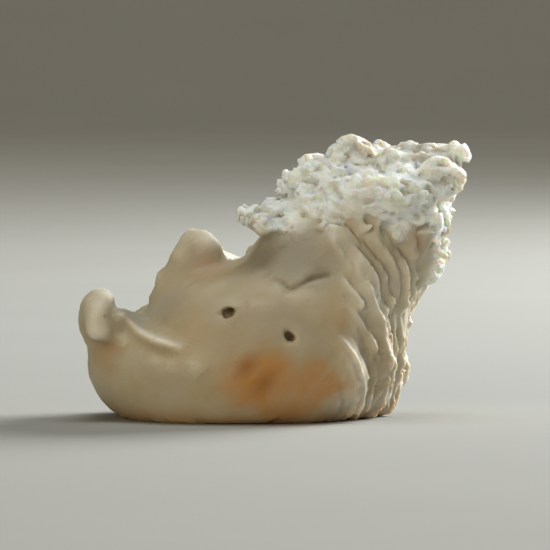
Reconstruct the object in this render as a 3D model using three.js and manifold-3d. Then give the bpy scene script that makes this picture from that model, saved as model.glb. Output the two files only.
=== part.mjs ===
// Meringue cookie: one spooned dollop of whipped egg white and sugar, baked to a dry shell.
// The spoon left a smooth face at the front, strands where it dragged down the right flank, a torn
// crest that leans to the right, and a tail at the left that curls up and over.
// Millimetres, +Z up. The cookie rests on z = 0 and the smooth face looks along -Y.
//
// The foam is a distance field: below 0 inside, and about as many millimetres from the skin as it
// says. Spoonfuls, peaks, strands and crumbs are blended in it, and its skin is then drawn as
// triangles. manifold-3d cuts the pores, the cracks and the flat base.
import * as THREE from "three";
import { ImprovedNoise } from "three/addons/math/ImprovedNoise.js";
import Module from "manifold-3d";
import { mergeVertices } from "three/addons/utils/BufferGeometryUtils.js";

const { clamp, degToRad, lerp, seededRandom, smoothstep } = THREE.MathUtils;

// Driving dimensions
const LENGTH = 51; // curled tail to leaning crest
const DEPTH = 40; // smooth face to back
const HEIGHT = 37; // baking sheet to the top of the crest
const CELL = 1.2; // the skin's triangles are about this wide

// Places are shares of the driving dimensions: x and y run from the middle of the cookie in half
// lengths and half depths, and z from the base in heights. Radii, widths and heights are millimetres
// unless they are called shares.

// Every spoonful that the dollop was built from: the place of its centre, and its radii as shares
const SPOONFULS = [
  { name: "foot", centre: [-0.1, 0.05, 0.16], radii: [0.76, 0.88, 0.285] },
  { name: "face", centre: [0.03, -0.21, 0.305], radii: [0.52, 0.61, 0.225] },
  { name: "shoulder", centre: [0.35, 0.0, 0.5], radii: [0.41, 0.63, 0.3] },
  { name: "crown", centre: [0.55, 0.05, 0.795], radii: [0.4, 0.42, 0.155] },
  { name: "cheek", centre: [0.69, 0.02, 0.665], radii: [0.2, 0.42, 0.15] },
  { name: "tail", centre: [-0.6, -0.11, 0.195], radii: [0.26, 0.36, 0.135] },
  { name: "nub", centre: [-0.31, -0.06, 0.37], radii: [0.15, 0.29, 0.155] },
  { name: "back", centre: [-0.12, 0.5, 0.315], radii: [0.42, 0.4, 0.215] },
  { name: "heel", centre: [0.43, 0.21, 0.195], radii: [0.23, 0.5, 0.205] },
];
const SPOONFUL_BLEND = 5; // the width over which one spoonful flows into the next

// Peaks and folds that the spoon pulled up: places along each, root to tip, and its end radii
const PEAKS = [
  {
    name: "curled tail",
    path: [
      [-0.55, -0.1, 0.14],
      [-0.75, -0.16, 0.24],
      [-0.85, -0.22, 0.35],
      [-0.85, -0.32, 0.405],
      [-0.84, -0.43, 0.39],
      [-0.84, -0.48, 0.34],
    ],
    radii: [3.8, 1.9],
  },
  {
    name: "tail fold",
    path: [[-0.78, -0.28, 0.32], [-0.66, -0.46, 0.27], [-0.52, -0.64, 0.22], [-0.34, -0.78, 0.2]],
    radii: [2.1, 1.3],
  },
  {
    name: "nub",
    path: [[-0.37, 0, 0.36], [-0.33, -0.05, 0.51], [-0.29, -0.11, 0.6]],
    radii: [3.2, 2.2],
  },
  {
    name: "nub shoulder",
    path: [[-0.4, -0.02, 0.36], [-0.42, -0.06, 0.48], [-0.42, -0.09, 0.575]],
    radii: [3.2, 1.9],
  },
  {
    name: "flake",
    path: [[0.2, -0.25, 0.7], [0.06, -0.33, 0.7], [-0.07, -0.38, 0.71]],
    radii: [2.4, 0.8],
  },
  {
    name: "brim",
    path: [[0.4, -0.34, 0.76], [0.54, -0.44, 0.78], [0.68, -0.46, 0.8], [0.88, -0.3, 0.85]],
    radii: [2, 2.6],
  },
  {
    name: "hood",
    path: [
      [0.48, -0.5, 0.78],
      [0.66, -0.52, 0.8],
      [0.8, -0.42, 0.765],
      [0.87, -0.3, 0.69],
      [0.89, -0.21, 0.61],
      [0.86, -0.15, 0.53],
    ],
    radii: [1.9, 1.3],
  },
  {
    name: "crest tip",
    path: [[0.55, 0.1, 0.74], [0.53, 0.05, 0.83], [0.47, 0, 0.92]],
    radii: [4, 2],
  },
  {
    name: "crest horn",
    path: [[0.67, 0, 0.77], [0.82, -0.05, 0.86], [0.98, -0.1, 0.94]],
    radii: [4, 1.8],
  },
  {
    name: "back peak",
    path: [[-0.08, 0.45, 0.35], [-0.16, 0.6, 0.46], [-0.31, 0.7, 0.53]],
    radii: [4, 1.7],
  },
];
const PEAK_BLEND = 2;
const BEADS = 14; // spheres along a peak or a strand

// Strands down the right flank, half sunk in it, that fan out from the edge of the smooth face
const STRANDS = [-3, 6]; // the first and last of them, counted from the one that starts at the crest
const STRAND_RADIUS = 1.7;
const STRAND_BLEND = 0.4;
const STRAND_ZERO = degToRad(25); // how far round from the front strand 0 lies, at the crest
const STRAND_STEP = degToRad(8.7);
const STRAND_TURN = degToRad(45); // further round at the foot than at the crest
const STRAND_EDGE = degToRad(33); // where the smooth face ends, round from the front
const STRAND_SPAN = [degToRad(38), degToRad(-30)]; // above and below the level of the heart
const STRAND_SWAY = degToRad(2.5);
const STRAND_SUNK = 0.15; // share of its radius that a strand's middle lies below the flank
const STRAND_HEAD = { sunk: 1.2, share: 0.3 }; // its top end dips into the face over a share of it
const STRAND_THINNING = 0.75; // share of its thickness that a strand still has at the foot
const HEART = [0.06, 0.03, 0.35]; // the place that the flank is measured round

// Torn skin on the crest and the back: crags, with crumbs sitting on them
const TEAR_HEIGHT = 24; // where the crest's torn skin begins, above the middle of the cookie
const TEAR_SLOPE = 0.18; // how that line climbs to the right
const TEAR_WANDER = { size: 7, height: 1.5, seed: 5.3 };
const TEAR_FADE = 3; // the height over which the torn skin takes over
const BACK_TEAR = [1, 8]; // the y where the back's torn skin begins, and where it is full
const CRAGS = { size: 8, height: 1.7, seed: 0.4 };
const CRAG_FLATNESS = 1.6; // how many times wider than high the crags are
const CRAG_SLANT = 0.25; // how far they slope down to the right
const CRAG_SEAM = 0.4; // share of their height that the seams between crags lie below the skin
const CRUMB_SPACING = 2.7;
const CRUMB_RADII = [1.0, 1.7];
const CRUMB_SEAT = [-0.8, 0.1]; // radii that a crumb's middle lies out of the skin, least and most
const CRUMB_BLEND = 0.6;
const CRUMB_SEED = 3;
const WAVES = { size: 9, height: 0.35, seed: 3.9 }; // the whole skin is gently uneven

// Holes and cracks in the smooth face, at places seen from the front: [x, z]
const PORES = [
  { at: [-0.18, 0.382], width: 1.9, height: 1.5 },
  { at: [0.137, 0.308], width: 1.4, height: 1.8 },
];
const PORE_DEPTH = 4;
const CRACKS = [
  {
    name: "wavering crack",
    line: [[0.03, 0.52], [0.1, 0.497], [0.145, 0.473], [0.205, 0.49], [0.265, 0.515], [0.34, 0.527]],
    width: 0.5,
  },
  { name: "slit", line: [[-0.075, 0.197], [-0.02, 0.178], [0.047, 0.138]], width: 0.7 },
];
const CRACK_DEPTH = 1.6;

const ROOM = new THREE.Vector3(4, 4, 3); // left round the driving dimensions for crumbs and crags

/** A place, or a spoonful's radii, from shares of the driving dimensions to millimetres. */
function place([x, y, z]) {
  return new THREE.Vector3((x * LENGTH) / 2, (y * DEPTH) / 2, z * HEIGHT);
}

/** The lesser of two distances, rounded where they come within `blend` of each other. */
function blended(one, other, blend) {
  const closeness = Math.max(blend - Math.abs(one - other), 0) / blend;
  return Math.min(one, other) - (closeness ** 2 * blend) / 4;
}

const noise = new ImprovedNoise();

/** Noise from about -1 to 1 whose lumps are about `size` millimetres across. */
function lumps(point, { size, seed }) {
  return 1.6 * noise.noise(point.x / size + seed, point.y / size + 2 * seed, point.z / size + 3 * seed);
}

const spoonfuls = SPOONFULS.map(({ centre, radii }) => ({ centre: place(centre), radii: place(radii) }));

/** Distance to one ellipsoid, near enough. */
function spoonfulDistance(point, { centre, radii }) {
  const offset = point.clone().sub(centre).divide(radii);
  const reach = offset.length();
  return (reach * (reach - 1)) / Math.max(offset.divide(radii).length(), 1e-6);
}

/** Distance to the smooth dollop, before the spoon pulled any peak from it. */
function dollopDistance(point) {
  const distances = spoonfuls.map((spoonful) => spoonfulDistance(point, spoonful));
  return distances.reduce((one, other) => blended(one, other, SPOONFUL_BLEND));
}

/** Beads along a path of points: a finger of foam as thick at its ends as the two radii say. */
function beads(path, radii) {
  const curve = new THREE.CatmullRomCurve3(path);
  return Array.from({ length: BEADS }, (_, bead) => ({
    centre: curve.getPointAt(bead / (BEADS - 1)),
    radius: lerp(...radii, bead / (BEADS - 1)),
  }));
}

/** Distance to the nearest of some beads. */
function beadDistance(point, string) {
  let nearest = Infinity;
  for (const { centre, radius } of string) nearest = Math.min(nearest, point.distanceTo(centre) - radius);
  return nearest;
}

/** The direction at an angle round from the front towards the right, and an angle up from level. */
function bearing(round, up) {
  return new THREE.Vector3(Math.sin(round) * Math.cos(up), -Math.cos(round) * Math.cos(up), Math.sin(up));
}

/** Where a ray from the heart leaves the smooth dollop, found in strides short enough to settle. */
function dollopPoint(direction) {
  const point = place(HEART);
  for (let stride = 0; stride < 60; stride += 1) {
    point.addScaledVector(direction, -0.7 * dollopDistance(point));
  }
  return point;
}

/** The strand at a place in the row, as beads down the flank from the crest or the face to the foot. */
function strand(order) {
  const unevenness = Math.sin(2.4 * order);
  const [top, foot] = STRAND_SPAN;
  const offset = STRAND_ZERO + STRAND_STEP * order;
  const start = Math.max(0, (STRAND_EDGE - offset) / STRAND_TURN);
  const path = [0, 0.2, 0.4, 0.6, 0.8, 1].map((share) => {
    const along = lerp(start, 1, share);
    const round = offset + STRAND_TURN * along + STRAND_SWAY * Math.sin(3 * along + 2 * order);
    const direction = bearing(round, lerp(top, foot * (1 + 0.3 * unevenness), along));
    const dip = start > 0 ? 1 - smoothstep(share, 0, STRAND_HEAD.share) : 0;
    const sunk = STRAND_RADIUS * lerp(STRAND_SUNK, STRAND_HEAD.sunk, dip);
    return dollopPoint(direction).addScaledVector(direction, -sunk);
  });
  const thickness = STRAND_RADIUS * (1 + 0.15 * unevenness);
  return beads(path, [thickness, STRAND_THINNING * thickness]);
}

const peaks = PEAKS.map(({ path, radii }) => beads(path.map(place), radii));
const [firstStrand, lastStrand] = STRANDS;
const strands = [];
for (let order = firstStrand; order <= lastStrand; order += 1) strands.push(strand(order));

/** Distance to the dollop with its peaks and strands. */
function spoonedDistance(point) {
  let distance = dollopDistance(point);
  for (const peak of peaks) distance = blended(distance, beadDistance(point, peak), PEAK_BLEND);
  for (const fold of strands) distance = blended(distance, beadDistance(point, fold), STRAND_BLEND);
  return distance;
}

/** 0 on the smooth face and the tail, 1 on the torn crest and the back. */
function tornness(point) {
  const tear = TEAR_HEIGHT + TEAR_SLOPE * point.x + TEAR_WANDER.height * lumps(point, TEAR_WANDER);
  return Math.max(smoothstep(point.z, tear, tear + TEAR_FADE), smoothstep(point.y, ...BACK_TEAR));
}

/** Distance to the foam with its torn crags and the gentle waves of its skin. */
function craggedDistance(point) {
  const level = CRAG_FLATNESS * (point.z + CRAG_SLANT * point.x);
  const flattened = new THREE.Vector3(point.x, point.y, level);
  const pillow = Math.min(1.6 * Math.abs(lumps(flattened, CRAGS)), 1) - CRAG_SEAM;
  const crag = CRAGS.height * tornness(point) * pillow;
  return spoonedDistance(point) - crag - WAVES.height * lumps(point, WAVES);
}

/** Crumbs where an uneven lattice of places meets the torn skin: one bead each, and not all kept. */
function scatterCrumbs() {
  const scattered = [];
  seededRandom(CRUMB_SEED);
  for (let x = -LENGTH / 2; x < LENGTH / 2; x += CRUMB_SPACING) {
    for (let y = -DEPTH / 2; y < DEPTH / 2; y += CRUMB_SPACING) {
      for (let z = 2; z < HEIGHT; z += CRUMB_SPACING) {
        const jitter = new THREE.Vector3(seededRandom(), seededRandom(), seededRandom());
        const centre = new THREE.Vector3(x, y, z).addScaledVector(jitter, CRUMB_SPACING);
        const radius = lerp(...CRUMB_RADII, seededRandom());
        const seat = craggedDistance(centre) / radius;
        const seated = seat > CRUMB_SEAT[0] && seat < CRUMB_SEAT[1];
        const kept = tornness(centre) > seededRandom();
        if (seated && kept) scattered.push({ centre, radius });
      }
    }
  }
  return scattered;
}

const crumbs = scatterCrumbs();

/** Distance to the whole foam. */
function foamDistance(point) {
  return blended(craggedDistance(point), beadDistance(point, crumbs), CRUMB_BLEND);
}

/** Whether the skin runs between two knots of the lattice. */
function parts(one, other) {
  return one.distance < 0 !== other.distance < 0;
}

/** The knots of a lattice round the whole cookie, row by row, and the strides to the next on each axis. */
function lattice() {
  const low = place([-1, -1, -0.2]).sub(ROOM);
  const high = place([1, 1, 1]).add(ROOM);
  const [wide, deep, tall] = high.clone().sub(low).divideScalar(CELL).ceil().toArray();
  const knots = [];
  for (let z = 0; z < tall; z += 1) {
    for (let y = 0; y < deep; y += 1) {
      for (let x = 0; x < wide; x += 1) {
        const corner = new THREE.Vector3(x, y, z).multiplyScalar(CELL).add(low);
        knots.push({ corner, distance: foamDistance(corner), vertex: null });
      }
    }
  }
  return { knots, strides: [1, wide, wide * deep] };
}

/**
 * The foam's skin as triangles: a vertex in each cell that the skin runs through, and two triangles
 * between the four cells round each edge that it crosses. The lattice's rim is all outside the foam,
 * so a stride past the end of a row never crosses the skin.
 */
function skin() {
  const { knots, strides } = lattice();
  fillPinches(knots, strides);
  const vertices = [];
  const triangles = [];
  const vertexIn = (cell) => {
    if (knots[cell].vertex === null) {
      knots[cell].vertex = vertices.length / 3;
      vertices.push(...settled(crossing(knots, cell, strides)).toArray());
    }
    return knots[cell].vertex;
  };
  for (let knot = 0; knot < knots.length; knot += 1) {
    strides.forEach((stride, axis) => {
      const next = knots[knot + stride];
      if (!next || !parts(knots[knot], next)) return;
      const [across, along] = [strides[(axis + 1) % 3], strides[(axis + 2) % 3]];
      const ring = [knot, knot - across, knot - across - along, knot - along].map(vertexIn);
      if (next.distance < 0) ring.reverse();
      triangles.push(ring[0], ring[1], ring[2], ring[0], ring[2], ring[3]);
    });
  }
  const geometry = new THREE.BufferGeometry();
  geometry.setAttribute("position", new THREE.Float32BufferAttribute(vertices, 3));
  geometry.setIndex(triangles);
  return geometry;
}

/** Fills knots of the lattice where the skin would touch itself along an edge or at a corner. */
function fillPinches(knots, [right, back, up]) {
  const squares = [[0, right, back + right, back], [0, back, up + back, up], [0, up, right + up, right]];
  const cube = [0, right, back, up, back + right, up + back, right + up, right + back + up];
  const opposites = [[0, 7], [1, 5], [2, 6], [3, 4]];
  const inside = (knot) => knots[knot].distance < 0;
  const pinchedSquare = ([a, b, c, d]) =>
    inside(a) === inside(c) && inside(b) === inside(d) && inside(a) !== inside(b);
  const pinchedCube = (corners) =>
    opposites.some((pair) => {
      const [one, other] = pair.map((corner) => inside(corners[corner]));
      const rest = corners.filter((_, corner) => !pair.includes(corner));
      return one === other && rest.every((knot) => inside(knot) !== one);
    });
  const pinchAt = (knot) => {
    const shifted = (offsets) => offsets.map((offset) => knot + offset);
    const corners = shifted(cube);
    return squares.map(shifted).find(pinchedSquare) ?? (pinchedCube(corners) ? corners : null);
  };
  const fill = (pinch) => {
    const outside = pinch.filter((knot) => !inside(knot)).map((knot) => knots[knot]);
    const nearest = outside.reduce((one, other) => (one.distance < other.distance ? one : other));
    nearest.distance = -CELL / 20;
  };
  const last = knots.length - right - back - up;
  for (let filled = true; filled; ) {
    filled = false;
    for (let knot = 0; knot < last; knot += 1) {
      const pinch = pinchAt(knot);
      if (pinch) fill(pinch);
      filled ||= pinch !== null;
    }
  }
}

/** The mean of the points where the skin crosses the twelve edges of a cell. */
function crossing(knots, cell, strides) {
  const points = [];
  strides.forEach((stride, axis) => {
    const [across, along] = [strides[(axis + 1) % 3], strides[(axis + 2) % 3]];
    for (const start of [cell, cell + across, cell + along, cell + across + along]) {
      const [one, other] = [knots[start], knots[start + stride]];
      const share = one.distance / (one.distance - other.distance);
      if (parts(one, other)) points.push(one.corner.clone().lerp(other.corner, share));
    }
  });
  const sum = points.reduce((total, point) => total.add(point), new THREE.Vector3());
  return sum.divideScalar(points.length);
}

/** A vertex moved along the slope of the field onto the skin, by a third of a cell at most. */
function settled(vertex) {
  const nudge = CELL / 24;
  const leastSlope = 0.3;
  const here = foamDistance(vertex);
  const rise = (...nudged) => foamDistance(new THREE.Vector3(...nudged).add(vertex)) - here;
  const slope = new THREE.Vector3(rise(nudge, 0, 0), rise(0, nudge, 0), rise(0, 0, nudge));
  slope.divideScalar(nudge);
  const step = clamp(here / Math.max(slope.lengthSq(), leastSlope), -CELL / 3, CELL / 3);
  return vertex.addScaledVector(slope, -step);
}

/** The point of the smooth face at a place seen from the front, found in short strides. */
function facePoint([x, z]) {
  const stride = 0.1;
  const point = place([x, -1, z]);
  while (foamDistance(point) > stride) point.y += stride;
  return point;
}

/** A pore that runs back into the smooth face: a round hole that narrows inwards. */
function pore({ at, width, height }) {
  const hole = new THREE.CylinderGeometry(0.3, 0.5, 2 * PORE_DEPTH, 8);
  hole.scale(width, 1, height);
  hole.translate(...facePoint(at).toArray());
  return hole;
}

/** A crack in the smooth face: a zigzag sliver, widest in the middle, cut straight back. */
function crack({ line, width }) {
  const corners = line.map(facePoint);
  const edge = (side) => (corner, index) => {
    const opening = Math.sin((Math.PI * (index + 0.25)) / (line.length - 0.5));
    return new THREE.Vector2(corner.x, corner.z + (side * width * opening) / 2);
  };
  const outline = [...corners.map(edge(-1)), ...corners.map(edge(1)).reverse()];
  const shape = new THREE.Shape(outline);
  const sliver = new THREE.ExtrudeGeometry(shape, { depth: DEPTH, bevelEnabled: false });
  sliver.rotateX(Math.PI / 2);
  sliver.translate(0, corners[Math.floor(line.length / 2)].y + CRACK_DEPTH, 0);
  return sliver;
}

/** The block that the baking sheet takes the place of, which cuts the base flat. */
function underside() {
  const block = new THREE.BoxGeometry(3 * LENGTH, 3 * DEPTH, HEIGHT);
  block.translate(0, 0, -HEIGHT / 2);
  return block;
}

const wasm = await Module();
wasm.setup();

/** A closed three.js geometry as a manifold-3d solid. */
function solid(geometry) {
  geometry.deleteAttribute("normal");
  geometry.deleteAttribute("uv");
  const merged = mergeVertices(geometry);
  const vertProperties = new Float32Array(merged.getAttribute("position").array);
  const triVerts = new Uint32Array(merged.index.array);
  return new wasm.Manifold(new wasm.Mesh({ numProp: 3, vertProperties, triVerts }));
}

/** A geometry brought to the driving dimensions exactly, with the middle of its base at the origin. */
function fitted(geometry) {
  geometry.computeBoundingBox();
  const size = geometry.boundingBox.getSize(new THREE.Vector3());
  const middle = geometry.boundingBox.getCenter(new THREE.Vector3());
  geometry.translate(-middle.x, -middle.y, 0);
  geometry.scale(LENGTH / size.x, DEPTH / size.y, HEIGHT / size.z);
  return geometry;
}

/** The whole cookie as one three.js geometry: the skin, with its holes and its flat base cut. */
function cookie() {
  const cuts = [...PORES.map(pore), ...CRACKS.map(crack), underside()];
  const whole = cuts.reduce((rest, cut) => rest.subtract(solid(cut)), solid(skin()));
  const { vertProperties, triVerts } = whole.getMesh();
  const geometry = new THREE.BufferGeometry();
  geometry.setAttribute("position", new THREE.BufferAttribute(vertProperties, 3));
  geometry.setIndex(new THREE.BufferAttribute(triVerts, 1));
  geometry.computeVertexNormals();
  return fitted(geometry);
}

const bakedFoam = new THREE.MeshStandardMaterial({ color: 0xf1ead8, roughness: 0.9, metalness: 0 });
const meringue = new THREE.Mesh(cookie(), bakedFoam);
meringue.name = "meringue";

const part = new THREE.Group();
part.add(meringue);
export default part;
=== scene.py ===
"""Looks of the meringue cookie: its crumbly skin, its browning, the shade and highlights painted into its
colour, and a plain studio.

The skin is sculpted on a distance field, which is below 0 inside the cookie and above 0 outside it.
The field and the places on the cookie are in millimetres, in the row frame. Blender's objects are in
metres.
"""

import math

import bpy
import numpy as np
import openvdb
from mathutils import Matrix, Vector


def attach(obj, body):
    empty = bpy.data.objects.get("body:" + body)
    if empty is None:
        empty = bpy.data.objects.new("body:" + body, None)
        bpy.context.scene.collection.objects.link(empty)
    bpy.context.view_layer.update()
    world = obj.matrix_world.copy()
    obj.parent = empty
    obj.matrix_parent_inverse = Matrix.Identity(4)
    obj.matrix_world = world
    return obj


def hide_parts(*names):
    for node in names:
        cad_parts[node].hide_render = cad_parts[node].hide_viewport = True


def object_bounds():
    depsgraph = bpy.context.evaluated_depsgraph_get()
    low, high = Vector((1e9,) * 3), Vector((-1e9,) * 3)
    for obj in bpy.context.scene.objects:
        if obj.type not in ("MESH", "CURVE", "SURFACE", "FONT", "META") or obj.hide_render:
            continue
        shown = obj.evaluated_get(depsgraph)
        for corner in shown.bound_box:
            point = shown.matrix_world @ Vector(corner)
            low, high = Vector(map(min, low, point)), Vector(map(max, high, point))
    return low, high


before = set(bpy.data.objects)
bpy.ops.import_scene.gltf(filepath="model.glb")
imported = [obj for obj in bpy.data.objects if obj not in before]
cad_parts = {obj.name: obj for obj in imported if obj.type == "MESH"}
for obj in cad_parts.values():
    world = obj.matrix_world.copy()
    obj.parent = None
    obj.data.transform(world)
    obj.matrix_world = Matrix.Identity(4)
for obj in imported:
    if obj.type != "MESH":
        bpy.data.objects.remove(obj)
cad_box = [list(corner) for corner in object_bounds()]

# ---------------------------------------------------------------- the distance field

VOXEL = 0.28
BAND = 10  # voxels of true distance kept on each side of the skin
MILLIMETRES = 1000  # in one metre
BLUR_REACH = 2.5  # standard deviations that a blur takes in on each side


def distance_grid(node):
    """The node's distance field as a dense array, and the lattice place of its first voxel."""
    mesh = node.data
    mesh.calc_loop_triangles()
    points = np.empty(3 * len(mesh.vertices), np.float32)
    mesh.vertices.foreach_get("co", points)
    triangles = np.empty(3 * len(mesh.loop_triangles), np.int32)
    mesh.loop_triangles.foreach_get("vertices", triangles)
    grid = openvdb.FloatGrid.createLevelSetFromPolygons(
        MILLIMETRES * points.reshape(-1, 3),
        triangles=triangles.reshape(-1, 3).astype(np.uint32),
        transform=openvdb.createLinearTransform(voxelSize=VOXEL),
        halfWidth=BAND,
    )
    first, last = (np.array(corner) for corner in grid.evalActiveVoxelBoundingBox())
    values = np.empty(last - first + 1, np.float32)
    grid.copyToArray(values, ijk=tuple(int(i) for i in first))
    return values, first


def blurred(values, width):
    """The array after a Gaussian blur of that width in millimetres."""
    sigma = width / VOXEL
    reach = math.ceil(BLUR_REACH * sigma)
    weights = np.exp(-0.5 * (np.arange(-reach, reach + 1) / sigma) ** 2).astype(np.float32)
    weights /= weights.sum()
    for axis in range(3):
        lines = np.moveaxis(values, axis, 0)
        padded = np.pad(lines, [(reach, reach), (0, 0), (0, 0)], "edge")
        total = sum(weight * padded[i : i + len(lines)] for i, weight in enumerate(weights))
        values = np.moveaxis(total, 0, axis)
    return np.ascontiguousarray(values)


def sampled(values, first, places):
    """The array's values at places in millimetres, between voxels."""
    spot = np.clip(places / VOXEL - first, 0, np.array(values.shape) - 1.001)
    cell = np.floor(spot).astype(int)
    share = spot - cell
    total = np.zeros(len(places))
    for corner in np.ndindex(2, 2, 2):
        weight = np.prod([share[:, a] if corner[a] else 1 - share[:, a] for a in range(3)], axis=0)
        total += weight * values[tuple((cell + corner).T)]
    return total


# ---------------------------------------------------------------- noise and soft edges

rng = np.random.default_rng(7)
GRADIENTS = rng.normal(size=(256, 3))
GRADIENTS = (GRADIENTS / np.linalg.norm(GRADIENTS, axis=1, keepdims=True)).astype(np.float32)
NOISE_GAIN = 1.7  # brings gradient noise to about -1 to 1
MIXERS = (374761393, 668265263, 2147483647, 1274126177)  # for x, y, z and the seed
WORD = 0xFFFFFFFF
HASHES = 2**32  # how many values a hash can have


def hashed(x, y, z, seed):
    """A repeatable random whole number for each lattice place."""
    h = (x * MIXERS[0] + y * MIXERS[1] + z * MIXERS[2] + seed * MIXERS[3]) & WORD
    h = ((h ^ (h >> 13)) * MIXERS[3]) & WORD
    return h ^ (h >> 16)


def noise(places, size, seed):
    """Gradient noise from about -1 to 1 with lumps about `size` millimetres across."""
    scaled = places / np.asarray(size, np.float32)
    cell = np.floor(scaled).astype(np.int64)
    inside = (scaled - cell).astype(np.float32)
    fade = inside**3 * (inside * (inside * 6 - 15) + 10)
    total = np.zeros(len(places), np.float32)
    for corner in np.ndindex(2, 2, 2):
        pick = hashed(*(cell[:, a] + corner[a] for a in range(3)), seed) % len(GRADIENTS)
        slope = np.zeros(len(places), np.float32)
        weight = np.ones(len(places), np.float32)
        for a in range(3):
            slope += GRADIENTS[pick, a] * (inside[:, a] - corner[a])
            weight *= fade[:, a] if corner[a] else 1 - fade[:, a]
        total += slope * weight
    return NOISE_GAIN * total


def layered(places, layers):
    """The sum of some layers of noise, each with its height, size and seed."""
    return sum(height * noise(places, size, seed) for height, size, seed in layers)


def ridged(places, size, seed):
    """Sharp ridges with rounded hollows between them, from -0.55 to 0.45."""
    return 0.45 - np.minimum(1.5 * np.abs(noise(places, size, seed)), 1)


def shaken(places, far, size, seeds):
    """The places moved by noise, by up to about `far` millimetres along each axis."""
    return places + far * np.stack([noise(places, size, seed) for seed in seeds], axis=1)


def step(value, low, high):
    """0 below low, 1 above high, smooth between."""
    share = np.clip((value - low) / (high - low), 0, 1)
    return share * share * (3 - 2 * share)


def bell(distance, width):
    """1 where the distance is 0, falling off to both sides over about `width` millimetres."""
    return np.exp(-((distance / width) ** 2))


def line_distance(places, line):
    """Distance to a line of places in x, y and z, or to one of x and z as seen from the front."""
    line = np.array(line)
    flat = places if line.shape[1] == 3 else places[:, [0, 2]]
    nearest = np.full(len(places), np.inf)
    for start, end in zip(line, line[1:]):
        way = end - start
        share = np.clip((flat - start) @ way / (way @ way), 0, 1)
        nearest = np.minimum(nearest, np.linalg.norm(flat - start - share[:, None] * way, axis=1))
    return nearest


# ---------------------------------------------------------------- where the skin is torn or dragged

TEAR_HEIGHT, TEAR_SLOPE = 25.0, 0.06  # the torn crest begins at this height at x = 0, and climbs
TEAR_RISE, RISE_SPAN = 1.2, (8.0, 11.0)  # its lower edge rises over these x
TEAR_FALL, FALL_SPAN = 3.2, (12.5, 16.5)  # and falls over these
TEAR_RAGS = [(1.5, 4.0, 31), (0.9, 1.6, 32)]  # layers of noise: height, size and seed
CREST_LEFT = (-6.5, -4.5)  # x over which the torn crest begins
BACK_SPAN = (4.0, 8.0)  # y over which the torn back begins
BACK_SHIFT = 3.0  # it begins further back low on both flanks, and nearer the front high on the right
HOOD = [(11.5, -12.5, 29.2), (15.4, -13, 29.8), (18.9, -10.8, 28.5)]  # x, y and z along its rim
HOOD += [(20.7, -8.3, 25.7), (21.2, -6.4, 22.7), (20.5, -5.1, 19.4)]
HOOD_SPAN = (1.6, 2.6)  # distance from the rim over which its torn skin ends

HEART = np.array([0.0, -1.3, 13.0])  # the place that the right flank is measured round
STRAND_ZERO, STRAND_STEP, STRAND_TURN = 25.0, 8.7, 45.0  # degrees round from the front
STRAND_TOP, STRAND_FOOT = 38.0, -30.0  # degrees above the heart
STRAND_EDGE = 33.0  # degrees round from the front where the smooth face ends
EDGE_FADE = (8, 7)  # degrees before and after the edge over which the strands begin
HEAD_SPAN = (-0.35, -0.05)  # shares of the way down the flank over which the strands begin
LAST_STRAND = 10.5


def tear_line(places):
    """The height where the crest's torn skin begins."""
    x = places[:, 0]
    bends = TEAR_RISE * step(x, *RISE_SPAN), TEAR_FALL * step(x, *FALL_SPAN)
    return TEAR_HEIGHT + TEAR_SLOPE * x + bends[0] - bends[1] + layered(places, TEAR_RAGS)


def torn(places, fade=1.2):
    """1 on the torn crest, the back and the hood's rim, 0 on the smooth face and the tail."""
    x, y, z = places.T
    tear = tear_line(places)
    crest = step(z, tear - fade, tear + fade) * step(x, *CREST_LEFT)
    low = BACK_SHIFT * step(abs(x), 9.0, 15.0) * (1 - step(z, 13.0, 18.0))
    high = BACK_SHIFT * step(x, 12.0, 16.0) * step(z, 18.0, 22.0)
    back = step(y + 1.4 * noise(places, 4.0, 33) - low + high, *BACK_SPAN)
    hood = 1 - step(line_distance(places, HOOD) + 0.8 * noise(places, 2.0, 35), *HOOD_SPAN)
    return np.maximum(np.maximum(crest, back), hood)


def round_flank(places):
    """How far round from the front each place is, how far down the flank, and on which strand."""
    x, y, z = (places - HEART).T
    turn = np.degrees(np.arctan2(x, -y))
    rise = np.degrees(np.arctan2(z, np.hypot(x, y)))
    along = (STRAND_TOP - rise) / (STRAND_TOP - STRAND_FOOT)
    order = (turn - STRAND_ZERO - STRAND_TURN * along) / STRAND_STEP
    return turn, along, order


def dragged(places):
    """1 on the right flank, where the spoon left its strands."""
    turn, along, order = round_flank(places)
    edge = STRAND_EDGE + 4 * noise(places, 4.0, 34)
    across = step(turn, edge - EDGE_FADE[0], edge + EDGE_FADE[1]) * step(LAST_STRAND - order, 0, 0.8)
    return across * (1 - torn(places)) * step(along, *HEAD_SPAN)


# ---------------------------------------------------------------- relief

NEAR = 2.0  # relief is worked out up to this far from the skin
SKIN_BLUR = 0.42  # rounds the edges of the solid's triangles
STRAND_BLUR, STRAND_SOFTNESS = 0.3, 0.5  # the strands are that share of the way to being blurred

# Heights, sizes and seeds of the ridges that make the ledges
LEDGES = [(0.6, (7.0, 7.0, 2.2), 1), (0.75, (4.0, 4.0, 1.2), 2), (0.55, (2.4, 2.4, 0.8), 3)]
LEDGE_SLOPE = 0.3  # how far the ledges fall to the right
WAVES = [(0.22, 5.0, 21), (0.08, 1.8, 22)]
FOLD_X = -2.2  # a faint fold runs up the face there
SLIVERS = 1.6  # to each strand, side by side
SLIVER_RAGS = [(0.2, (1.0, 1.0, 1.8), 43), (0.3, (2.6, 2.6, 4.0), 44)]
EDGE_AT, TIP_AT = 0.6, 0.7  # where a sliver stands highest, as shares of its width and length

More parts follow.
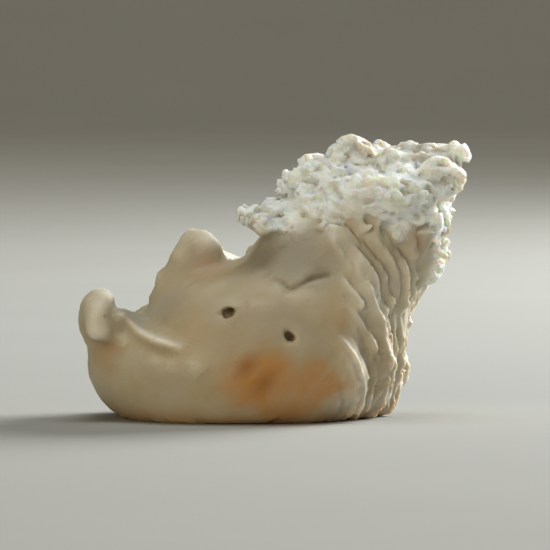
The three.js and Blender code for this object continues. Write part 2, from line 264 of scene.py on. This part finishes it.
# Lines on the face: x and z as seen from the front
TAIL_RIDGE = [(-19.3, 13.9), (-17.6, 12.2), (-15.5, 11.2), (-12.0, 10.2)]
UNDER_CURL = [(-25.0, 9.4), (-21.5, 8.9), (-18.5, 8.6)]
WAVERING_CRACK = [(-0.6, 19.1), (1.2, 18.2), (2.3, 17.35), (3.8, 18.0), (5.3, 18.9), (7.2, 19.3)]
SLIT = [(-3.3, 7.3), (-1.9, 6.5), (-0.2, 5.1)]  # in the solid; it is filled here
STREAK = [(-3.4, 7.8), (-2.1, 6.7), (-0.7, 5.4)]  # a dark brown line painted over the filled slit: the slit's shade, and browning


def ledge_relief(places):
    """Flat ledges that step down the torn skin, with crags on them."""
    warped = shaken(places, 0.8, 2.5, (51, 52, 53))
    warped[:, 2] += LEDGE_SLOPE * warped[:, 0]
    return sum(height * ridged(warped, size, seed) for height, size, seed in LEDGES)


def sliver_relief(places):
    """Overlapping slivers down the flank, each highest right of its middle and near its tip."""
    _, along, order = round_flank(places)
    across = SLIVERS * order + 0.3 * np.sin(5 * along) + 0.5 * noise(places, (6, 6, 9), 41)
    column = np.floor(across).astype(np.int64)
    down = 2.6 * along + 3 * hashed(column, 0, 0, 45) / HASHES + 0.3 * noise(places, 2.0, 46)
    row = np.floor(down).astype(np.int64)
    reach = down - row
    slanted = across + 0.5 * (reach - 0.5)
    sliver = np.floor(slanted).astype(np.int64)
    chance = hashed(sliver, row, 0, 47) / HASHES
    rise = slanted - sliver
    edge = np.where(rise < EDGE_AT, rise / EDGE_AT, (1 - rise) / (1 - EDGE_AT))
    tip = np.where(reach < TIP_AT, reach / TIP_AT, (1 - reach) / (1 - TIP_AT))
    height = (0.6 + 0.9 * chance) * (1 + 0.6 * step(-along, -0.35, 0.0))
    return height * ((edge - 0.5) * (0.3 + 0.7 * tip) + 0.35 * tip) - 0.2 + layered(places, SLIVER_RAGS)


def wave_relief(places):
    """Soft waves all over the closed skin, and a fold up the face."""
    x, _, z = places.T
    fold = 0.22 * bell(x - FOLD_X + 0.8 * noise(places, 6.0, 23), 1.1) * step(z, 7, 12)
    return layered(places, WAVES) + fold


def face_relief(places):
    """The tail's ridge between two grooves, the tuck under the curl and the wavering crack."""
    x, y, _ = places.T
    beside = line_distance(places, TAIL_RIDGE)
    ridge = bell(beside, 0.8) - 0.4 * bell(beside - 1.7, 0.9)
    ridge *= step(-10.0 - x, 0, 4)
    tuck = -0.5 * bell(line_distance(places, UNDER_CURL), 1.2)
    crease = -0.3 * bell(line_distance(places, WAVERING_CRACK), 0.45)
    return (y < -3) * (ridge + tuck + crease)


def with_relief(modelled, first):
    """The modelled field with relief on its skin: torn ledges, dragged strands and soft waves."""
    field = blurred(modelled, SKIN_BLUR)
    near = np.abs(field) < NEAR
    places = ((np.argwhere(near) + first) * VOXEL).astype(np.float32)
    tear, drag = torn(places), dragged(places)
    smooth = (1 - tear) * (1 - drag)
    relief = tear * ledge_relief(places) + drag * sliver_relief(places)
    field[near] -= relief + smooth * wave_relief(places) + smooth * face_relief(places)
    softer = blurred(field, STRAND_BLUR)
    field[near] += STRAND_SOFTNESS * drag * (softer - field)[near]
    return field


# ---------------------------------------------------------------- crumbs, flakes and pits

AXES = np.eye(3, dtype=int)
UNTURNED = np.eye(3)
CRUMB_SHAPE = np.array([1.2, 1.0, 0.7])  # a crumb's three radii, as shares of its size
FLAKE_SHAPE = np.array([1.5, 0.85, 0.5])  # a flake's or a pit's
DRIFT = np.array([1.0, 0.0, -0.3])  # the way that the flakes were torn

# Crumbs, flakes, small crumbs and pits, in this order: how many places are tried for them, their
# least and largest size, how far out of the skin their middles lie as shares of the size, and how
# wide their joins are
SCATTERED = [
    dict(count=250, sizes=(0.6, 1.1), seat=(-0.7, -0.3), blend=0.4),
    dict(count=1500, sizes=(0.7, 1.4), seat=(-0.5, 0.1), blend=0.15, flaky=True),
    dict(count=1800, sizes=(0.35, 0.6), seat=(-0.4, 0.1), blend=0.12),
    dict(count=3200, sizes=(0.4, 0.9), seat=(-0.1, 0.2), blend=0.12, flaky=True, hole=True),
]


def stamp(field, first, centre, radii, blend, hole=False, turn=UNTURNED):
    """Adds a turned ellipsoid to the field, or cuts it out, with rounded joins `blend` wide."""
    reach = max(radii) + 2 * blend + VOXEL
    low = np.maximum(np.floor((centre - reach) / VOXEL).astype(int) - first, 0)
    high = np.minimum(np.ceil((centre + reach) / VOXEL).astype(int) - first + 1, field.shape)
    if np.any(low >= high):
        return
    block = tuple(slice(start, end) for start, end in zip(low, high))
    offsets = (np.moveaxis(np.mgrid[block], 0, -1) + first) * VOXEL - centre
    distance = (np.linalg.norm(offsets @ turn / radii, axis=-1) - 1) * min(radii)
    sign = -1 if hole else 1
    here = sign * field[block]
    closeness = np.maximum(blend - np.abs(here - distance), 0) / blend
    field[block] = sign * (np.minimum(here, distance) - closeness**2 * blend / 4)


def unit(way):
    """The way at length 1."""
    return way / (np.linalg.norm(way) + 1e-6)


def slope_at(field, first, place):
    """The field's uphill direction at a place, which is out of the skin."""
    index = np.clip(np.round(place / VOXEL).astype(int) - first, 1, np.array(field.shape) - 2)
    return unit(np.array([field[tuple(index + one)] - field[tuple(index - one)] for one in AXES]))


def flake_turn(outward):
    """A flake's long, wide and thin directions as columns: nearly flat on the skin, along the drift."""
    thin = unit(outward + 0.25 * rng.normal(size=3))
    wide = unit(np.cross(thin, DRIFT + 0.35 * rng.normal(size=3)))
    return np.stack([np.cross(wide, thin), wide, thin], axis=1)


def scatter(field, first, count, sizes, seat, blend, flaky=False, hole=False):
    """Stamps crumbs, flakes or pits over the torn skin, more small ones than large."""
    skin = np.argwhere(np.abs(field) < VOXEL / 2)
    places = (skin[rng.choice(len(skin), size=count, replace=False)] + first) * VOXEL
    kept = places[torn(places.astype(np.float32)) > rng.random(count)]
    for place in kept:
        size = sizes[0] + (sizes[1] - sizes[0]) * rng.random() ** 2
        radii = size * (FLAKE_SHAPE if flaky else CRUMB_SHAPE) * rng.uniform(0.8, 1.2, 3)
        outward = slope_at(field, first, place)
        centre = place + outward * size * rng.uniform(*seat)
        turn = flake_turn(outward) if flaky else np.linalg.qr(rng.normal(size=(3, 3)))[0]
        stamp(field, first, centre, radii, blend, hole, turn)


# ---------------------------------------------------------------- single forms

# Stamps that shape the nub: centre, radii, width of the join, and whether it is cut out
NUB = [
    ((-14.2, -3.0, 16.8), (2.0, 2.4, 2.4), 2.0, False),  # fuller on its left side
    ((-14.0, -2.6, 24.8), (2.2, 5.0, 2.2), 1.5, True),  # lower at its left shoulder
    ((-9.7, -2.6, 22.9), (1.9, 2.3, 2.1), 1.5, False),  # rounder at its peak
]
POCKET = (-20.5, 13.1)  # x and z of a deep pocket beside the curl, which is half filled
POCKET_FILL = np.array([1.1, 0.9, 1.1])

PORES = [(-5.7, 14.6, 0.65, 0.5), (-5.1, 14.7, 0.4, 0.35)]  # x, z, half width and half height
PORES += [(1.9, 11.8, 0.35, 0.35), (2.4, 11.3, 0.4, 0.4)]
PORE_DEPTH = 1.1
PORE_RIM = 0.6  # how wide a pore's rounded rim is
PORE_FILL = 1.4  # radius of the spheres that first fill the solid's pores
LINE_FILL = 1.5  # and of those that fill its slit
FILL_STEP = 0.1  # from one of those to the next

PROUDEST = 1.1  # the most that anything stands out of the modelled skin
TOP_TRIM = 0.65  # the share that is taken off that at the top, so that the crest keeps its height
TOP_SPAN = (33.0, 36.0)  # heights over which it is taken off


def front_of(field, first, x, z):
    """The point of the front skin at a place seen from the front."""
    column = field[int(round(x / VOXEL)) - first[0], :, int(round(z / VOXEL)) - first[2]]
    return np.array([x, (np.argmax(column < 0) + first[1]) * VOXEL, z])


def shape_nub_and_curl(field, first):
    """Rounds the nub on the rising edge and fills the pocket beside the curled tail."""
    for centre, radii, blend, hole in NUB:
        stamp(field, first, np.array(centre), np.array(radii), blend, hole)
    stamp(field, first, front_of(field, first, *POCKET), POCKET_FILL, blend=1.0)


def move_pores(field, first):
    """Fills the solid's pores and opens them where the photo has them, with rounded rims."""
    for x, z, wide, _ in PORES:
        level = np.mean([front_of(field, first, x + side, z) for side in (-2 * wide, 2 * wide)], axis=0)
        behind = level + (0, PORE_FILL + PORE_DEPTH, 0)
        stamp(field, first, behind, np.full(3, PORE_FILL), blend=0.2)
    for x, z, wide, tall in PORES:
        middle = front_of(field, first, x - wide, z) + (wide, 0, 0)
        stamp(field, first, middle, np.array([wide, PORE_DEPTH, tall]), PORE_RIM, hole=True)


def along_line(line):
    """Places close together along a line seen from the front."""
    for start, end in zip(line, line[1:]):
        for share in np.arange(0, 1, FILL_STEP / math.dist(start, end)):
            yield np.array(start) + share * (np.array(end) - start)


def fill_line(field, first, line):
    """Fills a groove along a line seen from the front, up to the skin beside it."""
    sides = (-LINE_FILL, LINE_FILL)
    for x, z in along_line(line):
        level = np.mean([front_of(field, first, x + side, z + side) for side in sides], axis=0)
        stamp(field, first, level + (0, LINE_FILL, 0), np.full(3, LINE_FILL), blend=0.4)


def capped(field, first, modelled):
    """The field cut off a little way out of the modelled skin, and at the floor."""
    heights = ((np.arange(field.shape[2]) + first[2]) * VOXEL).astype(np.float32)
    proudest = PROUDEST * (1 - TOP_TRIM * step(heights, *TOP_SPAN))
    return np.maximum(np.maximum(field, modelled - proudest), -heights)


# ---------------------------------------------------------------- the mesh

ADAPTIVITY = 0.25  # how readily nearly flat faces are joined to larger ones, from 0 to 1


def meshed(field, first):
    """The field's skin as a mesh in metres, fitted to the solid's box, and its points in the field."""
    grid = openvdb.FloatGrid()
    grid.transform = openvdb.createLinearTransform(voxelSize=VOXEL)
    grid.background = BAND * VOXEL
    grid.copyFromArray(field, ijk=tuple(int(i) for i in first))
    points, triangles, quads = grid.convertToPolygons(isovalue=0.0, adaptivity=ADAPTIVITY)
    least, most = points.min(0), points.max(0)
    low, high = (np.array(corner) for corner in cad_box)
    fitted = low + (points - least) / (most - least) * (high - low)
    mesh = bpy.data.meshes.new("meringue_foam")
    mesh.from_pydata(fitted.tolist(), [], quads[:, ::-1].tolist() + triangles[:, ::-1].tolist())
    mesh.shade_smooth()
    return mesh, points


modelled, first = distance_grid(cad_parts["meringue"])
field = with_relief(modelled, first)
for kind in SCATTERED:
    scatter(field, first, **kind)
shape_nub_and_curl(field, first)
move_pores(field, first)
fill_line(field, first, SLIT)
field = capped(field, first, modelled)
mesh, places = meshed(field, first)
cookie = bpy.data.objects.new("meringue_foam", mesh)
bpy.context.scene.collection.objects.link(cookie)
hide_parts("meringue")
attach(cookie, "root")

# ---------------------------------------------------------------- colour masks

# Patches of colour: centre, radii and strength
# Brown patches, partly painted warm shade: most of all the low patch, the hollow under the curl and the
# hood's pocket.
BROWNED_AND_SHADED_PATCHES = [
    ((-1.2, -17.0, 5.4), (7.2, 12, 5.0), 1.0),
    ((5.0, -16.0, 5.4), (6.5, 12, 3.8), 0.85),
    ((2.0, -17.0, 1.5), (5.0, 9, 3.5), 0.8),
    ((-8.5, -6.0, 19.2), (4.5, 7, 3.5), 0.3),
    ((-21.5, -9.0, 9.4), (3.0, 5, 1.8), 0.35),
    ((8.4, -13.5, 13.0), (2.4, 5, 5.0), 0.4),
    ((-7.0, 13.0, 20.5), (5.0, 5, 3.5), 0.5),
    ((18.6, -8.0, 24.3), (2.6, 6, 4.2), 0.25),
    ((22.0, -5.0, 30.6), (2.8, 5, 2.2), 0.45),
    ((20.0, 1.0, 8.0), (4.0, 7, 5.0), 0.45),
    ((-8.0, 19.0, 8.0), (8.0, 8, 5.0), 0.5),
    ((9.0, 17.0, 16.0), (6.0, 7, 6.0), 0.4),
    ((-17.0, 10.0, 6.0), (6.0, 6, 5.0), 0.45),
]
# Tan patches that are partly painted shade: under the crest's overhang, over the face, beside the nub,
# under the curl and on the shaded flank.
TAN_AND_SHADE_PATCHES = [
    ((-1.0, -17.0, 11.5), (11.0, 12, 7.5), 0.9),
    ((-11.0, -14.0, 12.0), (9.0, 12, 5.5), 0.75),
    ((3.0, -11.0, 22.0), (10.0, 8, 3.6), 0.25),
    ((-9.5, -5.0, 18.0), (5.0, 8, 5.0), 1.0),
    ((9.0, -14.0, 13.5), (3.6, 8, 6.0), 0.4),
    ((16.0, -9.0, 21.0), (5.5, 8, 7.0), 0.3),
    ((13.5, -11.0, 7.5), (4.5, 8, 7.5), 0.7),
    ((-22.5, -10.0, 11.5), (3.5, 5, 2.8), 0.8),
]
# Patches of painted shade over the face under the crest, beside the nub and the curl, in the hood's
# pocket, on the crest and on the back.
PAINTED_SHADE_PATCHES = [
    ((2.0, -11.0, 21.5), (11.0, 9, 4.5), 0.85),
    ((-9.0, -5.0, 19.5), (5.5, 8, 4.0), 0.65),
    ((-15.0, -9.0, 14.5), (8.0, 8, 4.5), 0.55),
    ((-1.0, -14.0, 12.5), (10.0, 9, 6.5), 0.5),
    ((15.5, -4.0, 36.5), (9.0, 9, 3.6), 0.75),
    ((18.6, -8.0, 24.3), (2.8, 6, 4.5), 0.45),
    ((22.5, -5.0, 31.0), (5.0, 7, 4.5), 0.9),
    ((-7.0, 13.0, 20.5), (5.0, 5, 3.5), 0.7),
]
FRONT = -4  # the crack, the pores and the streak are coloured only in front of this y


def patched(places, patches):
    """How strongly a place lies in any of the patches, whose rims are ragged."""
    ragged = shaken(places, 1.6, 3.5, (61, 62, 63))
    strongest = np.zeros(len(places))
    for centre, radii, strength in patches:
        reach = np.linalg.norm((ragged - centre) / radii, axis=1)
        strongest = np.maximum(strongest, strength * (1 - step(reach, 0.4, 1.1)))
    return strongest


def toasted_foot(places):
    """The ragged brown line along the bottom, where the foam lay on the baking sheet."""
    return 0.5 * (1 - step(places[:, 2] + 0.8 * noise(places, 2.5, 64), 0.3, 2.2))


def crack_and_pores(places):
    """Painted shade in the wavering crack and in the pores."""
    dark = 0.25 * (1 - step(line_distance(places, WAVERING_CRACK), 0.0, 0.6))
    for x, z, wide, tall in PORES:
        reach = np.hypot((places[:, 0] - x) / wide, (places[:, 2] - z) / tall)
        dark = np.maximum(dark, 0.75 - 0.75 * step(reach, 0.4, 1.9))
    return dark


def streak(places):
    """The dark line in the amber patch: painted shade of the filled slit, and browning."""
    ragged = line_distance(places, STREAK) + 0.4 * noise(places, 1.2, 65)
    return 0.95 * (1 - step(ragged, -0.1, 1.0))


def colour_masks(field, first, places):
    """What the material asks of each point of the skin, from 0 to 1."""
    fine = sampled(blurred(np.clip(field, -1.5, 1.5), 0.5), first, places)
    wide = sampled(blurred(field, 1.3), first, places)
    front = places[:, 1] < FRONT
    return {
        "torn": torn(places, 1.5),
        "dragged": dragged(places),
        # hollow and pit feed painted shade in hollows; ridge and crown feed painted highlight on what
        # stands out.
        "hollow": np.clip(-2.2 * fine, 0, 1),
        "pit": np.clip(-0.9 * wide, 0, 1),
        "ridge": np.clip(2.2 * fine, 0, 1),
        "crown": np.clip(1.6 * (wide - 0.2), 0, 1),
        "browning_and_shade": np.maximum(patched(places, BROWNED_AND_SHADED_PATCHES), toasted_foot(places)),
        "tan_and_shade": patched(places, TAN_AND_SHADE_PATCHES),
        "painted_shade": patched(places, PAINTED_SHADE_PATCHES),
        "crack": front * crack_and_pores(places),
        "slit_shade_and_browning": front * streak(places),
    }


for name, values in colour_masks(field, first, places).items():
    attribute = mesh.attributes.new(name, "FLOAT", "POINT")
    attribute.data.foreach_set("value", values.astype(np.float32))

# ---------------------------------------------------------------- node trees


class Nodes:
    """Short calls for building a material's node tree."""

    def __init__(self, material):
        material.use_nodes = True
        self.tree = material.node_tree
        self.shader = self.tree.nodes["Principled BSDF"]

    def put(self, socket, value):
        """Sets a socket to a value, or links another node's output to it."""
        if isinstance(value, bpy.types.NodeSocket):
            self.tree.links.new(value, socket)
        else:
            socket.default_value = value

    def add(self, kind, **inputs):
        """A new node with those inputs."""
        node = self.tree.nodes.new(kind)
        for name, value in inputs.items():
            self.put(node.inputs[name], value)
        return node

    def mask(self, name):
        """One of the colour masks."""
        node = self.add("ShaderNodeAttribute")
        node.attribute_name = name
        return node.outputs["Fac"]

    def texture(self, kind, size, **inputs):
        """A texture node whose pattern is about `size` millimetres across."""
        place = self.add("ShaderNodeTexCoord").outputs["Object"]
        return self.add(kind, Vector=place, Scale=MILLIMETRES / size, **inputs)

    def noise(self, size, detail, roughness=0.5):
        """Noise from 0 to 1."""
        return self.texture("ShaderNodeTexNoise", size, Detail=detail, Roughness=roughness).outputs["Fac"]

    def cells(self, size):
        """Distance to the nearest of some scattered points."""
        return self.texture("ShaderNodeTexVoronoi", size).outputs["Distance"]

    def math(self, operation, *values):
        """The result of a Math node."""
        node = self.tree.nodes.new("ShaderNodeMath")
        node.operation = operation
        for socket, value in zip(node.inputs, values):
            self.put(socket, value)
        return node.outputs[0]

    def times(self, product, *values):
        """The product of some values."""
        for value in values:
            product = self.math("MULTIPLY", product, value)
        return product

    def span(self, value, low, high, start=0.0, end=1.0):
        """The value's span from low to high brought to start to end."""
        node = self.add("ShaderNodeMapRange", Value=value)
        node.inputs["From Min"].default_value = low
        node.inputs["From Max"].default_value = high
        self.put(node.inputs["To Min"], start)
        self.put(node.inputs["To Max"], end)
        return node.outputs[0]

    def clouds(self, size, detail, low, high, start=0.0, end=1.0):
        """Noise whose span from low to high is brought to start to end."""
        return self.span(self.noise(size, detail), low, high, start, end)

    def mix(self, share, one, other):
        """A mix of two colours."""
        node = self.tree.nodes.new("ShaderNodeMix")
        node.data_type = "RGBA"
        for socket, value in zip((node.inputs[0], node.inputs[6], node.inputs[7]), (share, one, other)):
            self.put(socket, value)
        return node.outputs[2]


# ---------------------------------------------------------------- the foam's material

# The closed skin's two colours are darker than the foam's own cream: partly its tan, partly painted shade
# over the face.
SKIN = (0.47, 0.395, 0.25, 1)
PALE_SKIN = (0.51, 0.445, 0.315, 1)
TAN = (0.43, 0.325, 0.18, 1)
# painted highlight on the closed skin's ridges and crowns
PAINTED_HIGHLIGHT = (0.80, 0.76, 0.66, 1)
SHADE = (0.40, 0.36, 0.27, 1)
STRAND = (0.62, 0.57, 0.45, 1)
PAINTED_TROUGH_SHADE = (0.46, 0.39, 0.27, 1)  # painted shade between the strands
CRUMB = (0.85, 0.875, 0.84, 1)
# painted highlight on the crumbs' ridges
PAINTED_CRUMB_HIGHLIGHT = (0.93, 0.95, 0.93, 1)
OLIVE = (0.68, 0.67, 0.57, 1)
PAINTED_GREY_SHADE = (0.46, 0.455, 0.40, 1)  # painted shade between the crumbs
# painted shade for the patches of shade
PAINTED_SHADE_COLOUR = (0.33, 0.30, 0.235, 1)
# brown in the hollows of the torn skin and the strands: partly browning, partly painted warm shade
HOLLOW_BROWN_AND_SHADE = (0.66, 0.52, 0.33, 1)
AMBER = (0.52, 0.25, 0.06, 1)  # brown of the closed skin; also painted warm shade in the low patch and under the curl
GOLD = (0.66, 0.43, 0.17, 1)  # brown of the torn skin; also painted warm shade in the hood's pocket
# painted shade of the filled slit, and browning
SLIT_SHADE_AND_BROWNING = (0.36, 0.15, 0.03, 1)
# painted shade in the crack and the pores
PAINTED_HOLE_SHADE = (0.16, 0.13, 0.055, 1)
LIGHT_REACH = (1.0, 0.72, 0.42)  # how far red, green and blue light go in the foam, as shares

# Values for the closed skin and the torn skin
ROUGHNESS = (0.58, 0.8)
SUBSURFACE = (0.6, 0.9)
SUBSURFACE_SCALE = (0.0012, 0.0017)  # metres
GRAIN_STRENGTH = (0.15, 1.0)

UNEVEN = 0.08  # how far the roughness strays from that
GRAIN_DEPTH = 0.00025  # metres
FOAM_IOR = 1.45


def closed_colour(n):
    """The closed skin: cream and tan, with painted highlight on what stands out and painted shade in its
    hollows.
    """
    colour = n.mix(n.clouds(6.0, 4.0, 0.35, 0.65), SKIN, PALE_SKIN)
    colour = n.mix(n.clouds(2.6, 4.0, 0.55, 0.75, 0.0, 0.5), colour, TAN)
    colour = n.mix(n.times(n.mask("dragged"), 0.7), colour, STRAND)
    # Tan patches, partly painted shade.
    colour = n.mix(n.times(n.mask("tan_and_shade"), n.clouds(4.5, 3.0, 0.3, 0.7, 0.6, 1.0)), colour, TAN)
    # Ridges and crowns are lightened as painted highlight; hollows are darkened as painted shade.
    painted_highlight = n.math("MAXIMUM", n.times(n.mask("ridge"), 0.75), n.times(n.mask("crown"), 0.9))
    colour = n.mix(painted_highlight, colour, PAINTED_HIGHLIGHT)
    return n.mix(n.times(n.mask("pit"), 0.2), colour, SHADE)


def crumb_colour(n):
    """The torn skin: white crumbs with olive patches, whiter on their ridges as painted highlight."""
    colour = n.mix(n.mask("ridge"), CRUMB, PAINTED_CRUMB_HIGHLIGHT)
    return n.mix(n.clouds(2.8, 3.0, 0.5, 0.68, 0.0, 0.38), colour, OLIVE)


def shaded(n, colour, torn_skin):
    """The colour with painted shade: grey between the crumbs, darker patches, brown shaded hollows and
    troughs between the strands.
    """
    hollow, strands = n.mask("hollow"), n.mask("dragged")
    # The grey between the crumbs is painted shade.
    crumb_gap_shade = n.times(hollow, torn_skin, n.clouds(1.7, 3.0, 0.4, 0.6, 0.2, 0.9))
    colour = n.mix(crumb_gap_shade, colour, PAINTED_GREY_SHADE)
    # Darker patches of painted shade, uneven on the torn skin.
    patchy = n.span(torn_skin, 0.0, 1.0, 1.0, n.clouds(3.2, 3.0, 0.35, 0.65, 0.3, 1.0))
    colour = n.mix(n.times(n.mask("painted_shade"), patchy), colour, PAINTED_SHADE_COLOUR)
    # Pits and hollows are browned, partly as painted warm shade.
    deep = n.times(n.mask("pit"), torn_skin, n.clouds(4.0, 3.0, 0.4, 0.6), 0.5)
    colour = n.mix(deep, colour, HOLLOW_BROWN_AND_SHADE)
    broken = n.math("MAXIMUM", torn_skin, strands)
    colour = n.mix(n.times(hollow, broken, n.clouds(5.0, 2.0, 0.42, 0.6, 0.1, 0.8)), colour, HOLLOW_BROWN_AND_SHADE)
    return n.mix(n.times(hollow, strands, 0.3), colour, PAINTED_TROUGH_SHADE)


def browning_and_shade(n, colour, torn_skin):
    """The colour with brown patches that are partly painted warm shade, a dark line in the largest that
    is the filled slit's shade and browning, and painted shade in the crack and the pores.
    """
    brown_and_shade_strength = n.times(n.mask("browning_and_shade"), n.clouds(2.2, 4.0, 0.3, 0.65, 0.75, 1.0))
    colour = n.mix(brown_and_shade_strength, colour, n.mix(torn_skin, AMBER, GOLD))
    colour = n.mix(n.mask("slit_shade_and_browning"), colour, SLIT_SHADE_AND_BROWNING)
    return n.mix(n.mask("crack"), colour, PAINTED_HOLE_SHADE)


def grain(n, torn_skin):
    """The normal of a dry, finely pitted shell, which is rougher where it is torn."""
    height = n.math("ADD", n.noise(0.35, 3.0), n.times(n.cells(0.5), 0.5))
    height = n.math("ADD", height, n.times(n.noise(1.1, 4.0, 0.6), 1.2))
    bump = n.add("ShaderNodeBump", Height=height)
    n.put(bump.inputs["Strength"], n.span(torn_skin, 0.0, 1.0, *GRAIN_STRENGTH))
    bump.inputs["Distance"].default_value = GRAIN_DEPTH
    return bump.outputs[0]


def baked_foam():
    """The cookie's material: dry, matt foam that light goes a little way into."""
    material = bpy.data.materials.new("baked_foam")
    n = Nodes(material)
    torn_skin = n.mask("torn")
    colour = n.mix(torn_skin, closed_colour(n), crumb_colour(n))
    colour = browning_and_shade(n, shaded(n, colour, torn_skin), torn_skin)
    n.put(n.shader.inputs["Base Color"], colour)
    roughness = n.span(torn_skin, 0.0, 1.0, *ROUGHNESS)
    roughness = n.math("ADD", roughness, n.clouds(0.9, 4.0, 0.3, 0.7, -UNEVEN, UNEVEN))
    n.put(n.shader.inputs["Roughness"], roughness)
    n.put(n.shader.inputs["Subsurface Weight"], n.span(torn_skin, 0.0, 1.0, *SUBSURFACE))
    n.put(n.shader.inputs["Subsurface Scale"], n.span(torn_skin, 0.0, 1.0, *SUBSURFACE_SCALE))
    n.shader.inputs["Subsurface Radius"].default_value = LIGHT_REACH
    n.shader.inputs["IOR"].default_value = FOAM_IOR
    n.put(n.shader.inputs["Normal"], grain(n, torn_skin))
    return material


mesh.materials.append(baked_foam())

# ---------------------------------------------------------------- studio, in metres

FLOOR_REACH = 1.6  # radius of the flat floor
BEND = 0.9  # radius of the bend between the floor and the wall
WALL_TOP = 2.2
SWEEP = [(0.0, 0.0), (FLOOR_REACH, 0.0)]  # radius and height along the floor, the bend and the wall
SWEEP += [
    (FLOOR_REACH + BEND * math.sin(angle), BEND - BEND * math.cos(angle))
    for angle in np.radians(range(6, 91, 6))
]
SWEEP += [(FLOOR_REACH + BEND, WALL_TOP)]
TURNS = 96  # points round each ring
PAPER = (0.33, 0.32, 0.29, 1)
PALE_PAPER = (0.36, 0.35, 0.32, 1)
WORLD = (0.10, 0.085, 0.062, 1)

COOKIE, BACKDROP = (0, 0, 0.018), (0, 2.5, 0.5)  # what the lamps are aimed at
# Each lamp's name, place, size, power, colour and target
LAMPS = [
    ("key", (0.55, 0.47, 0.34), 0.4, 12.5, (0.95, 0.99, 1.0), COOKIE),
    ("sky", (0.05, -0.1, 1.0), 0.6, 5.0, (0.9, 0.97, 1.0), COOKIE),
    ("fill", (-0.35, -0.75, 0.12), 0.6, 4.2, (1.0, 0.89, 0.70), COOKIE),
    ("backdrop", (0, 0.8, 1.2), 0.8, 9, (1.0, 0.97, 0.86), BACKDROP),
]

CAMERA_TILT = math.radians(2.5)  # how far the photo looks down on the cookie
CAMERA_DISTANCE = 0.957
FOCAL_LENGTH = 480  # millimetres


def paper():
    """Plain grey paper, a little uneven."""
    material = bpy.data.materials.new("paper")
    n = Nodes(material)
    n.put(n.shader.inputs["Base Color"], n.mix(n.noise(60.0, 2.0), PAPER, PALE_PAPER))
    n.shader.inputs["Roughness"].default_value = 0.9
    return material


def floor_and_wall():
    """A round sheet of paper that bends up into a wall all round."""
    rings = [
        (reach * math.cos(angle), reach * math.sin(angle), height)
        for reach, height in SWEEP
        for angle in np.radians(np.arange(TURNS) * 360 / TURNS)
    ]
    quads = [
        (ring + turn, ring + after, ring + TURNS + after, ring + TURNS + turn)
        for ring in range(0, TURNS * (len(SWEEP) - 1), TURNS)
        for turn, after in zip(range(TURNS), [*range(1, TURNS), 0])
    ]
    floor = bpy.data.objects.new("floor", bpy.data.meshes.new("floor"))
    floor.data.from_pydata(rings, [], quads)
    floor.data.shade_smooth()
    floor.data.materials.append(paper())
    bpy.context.scene.collection.objects.link(floor)


def aimed(thing, name, place, target):
    """An object at a place, looking at a target."""
    made = bpy.data.objects.new(name, thing)
    made.location = place
    made.rotation_mode = "QUATERNION"
    made.rotation_quaternion = (Vector(target) - Vector(place)).to_track_quat("-Z", "Y")
    bpy.context.scene.collection.objects.link(made)
    return made


def lamp(name, place, size, power, colour, target):
    """A soft square lamp that is aimed at its target."""
    light = bpy.data.lights.new(name, "AREA")
    light.size = size
    light.energy = power
    light.color = colour
    aimed(light, name, place, target)


def camera():
    """The camera at the photo's viewing angle, aimed at the middle of the cookie."""
    middle = (Vector(cad_box[0]) + Vector(cad_box[1])) / 2
    back = Vector((0, -math.cos(CAMERA_TILT), math.sin(CAMERA_TILT)))
    lens = bpy.data.cameras.new("camera")
    lens.lens = FOCAL_LENGTH
    lens.clip_end = 100
    return aimed(lens, "camera", middle + CAMERA_DISTANCE * back, middle)


floor_and_wall()
for settings in LAMPS:
    lamp(*settings)
world = bpy.data.worlds.new("studio")
world.use_nodes = True
world.node_tree.nodes["Background"].inputs[0].default_value = WORLD
bpy.context.scene.world = world
bpy.context.scene.view_settings.view_transform = "Standard"
bpy.context.scene.camera = camera()
